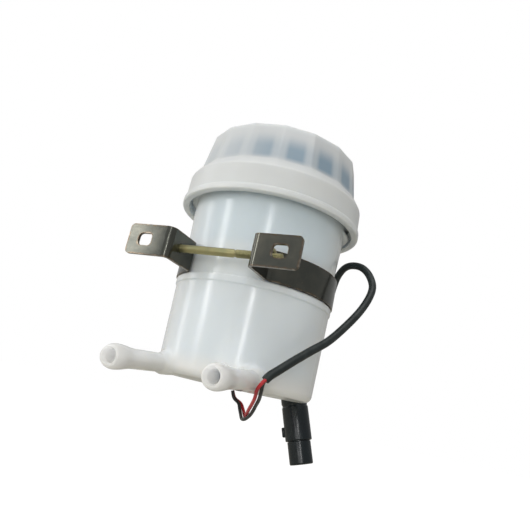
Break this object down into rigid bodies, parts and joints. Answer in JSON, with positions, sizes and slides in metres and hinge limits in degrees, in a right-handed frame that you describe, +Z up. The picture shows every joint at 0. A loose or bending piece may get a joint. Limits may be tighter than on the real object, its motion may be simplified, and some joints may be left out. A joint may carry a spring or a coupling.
{
  "type": "brake fluid reservoir",
  "caption": "Remote brake fluid reservoir: milky round tank, faceted screw cap, clamp band with slotted tabs, beaded hose spouts, float level switch and sleeved lead with round connector.",
  "frame": {"origin": "midway between the bolt slots of the clamp's two tabs, on the tabs' front face", "axes": "+Z up along the tank's axis, -Y out of the tabs' front face towards the bracket and the way the spouts point, +X to the right seen from the front, the side where the lead leaves"},
  "size_m": [0.1021, 0.1189, 0.151],
  "materials": {
    "milky_plastic": "translucent milky moulded plastic",
    "cap_plastic": "translucent white moulded plastic",
    "diaphragm_rubber": "matt blue-black rubber",
    "white_plastic": "matt white moulded plastic",
    "float_foam": "closed-cell foam",
    "ferrite": "sintered ferrite",
    "bright_steel": "bright spring steel",
    "black_rubber": "matt black rubber",
    "dark_steel": "dark blued steel with worn edges",
    "yellow_zinc": "yellow passivated zinc plating",
    "reed_glass": "green tinted glass",
    "red_wire": "smooth red insulation",
    "black_wire": "smooth black insulation",
    "sleeve": "satin black sleeve",
    "connector_plastic": "glossy black moulded plastic",
    "tinned_brass": "tinned brass"
  },
  "bodies": {
    "reservoir": {"reservoir_body": "milky_plastic", "filler_strainer": "white_plastic", "float_stop": "bright_steel", "switch_carrier": "white_plastic", "reed_switch": "reed_glass", "post_plug": "black_rubber", "clamp_band": "dark_steel", "clamp_bolt": "yellow_zinc", "clamp_washer": "yellow_zinc", "clamp_spring_washer": "yellow_zinc", "clamp_nut": "yellow_zinc", "lead_red": "red_wire", "lead_black": "black_wire", "lead_sleeve": "sleeve", "connector_boot": "black_rubber", "connector_housing": "connector_plastic", "connector_nose": "connector_plastic", "contact_a": "tinned_brass", "contact_b": "tinned_brass"},
    "float": {"float": "float_foam", "float_magnet": "ferrite"},
    "seal": {"cap_diaphragm": "diaphragm_rubber", "diaphragm_plate": "white_plastic"},
    "cap": {"screw_cap": "cap_plastic"}
  },
  "joints": [
    {"name": "float_slide", "type": "slide", "parent": "reservoir", "child": "float", "axis": [0, 0, 1], "range_m": [0, 0.024]},
    {"name": "cap_rise", "type": "slide", "parent": "reservoir", "child": "seal", "axis": [0, 0, 1], "range_m": [0, 0.0076]},
    {"name": "cap_turn", "type": "hinge", "parent": "seal", "child": "cap", "pos_m": [0, 0.054, 0.0438], "axis": [0, 0, 1], "range_deg": [0, 540]}
  ],
  "couplings": [
    {"joint": "cap_rise", "follows": "cap_turn", "m_per_rad": 0.00079577}
  ]
}
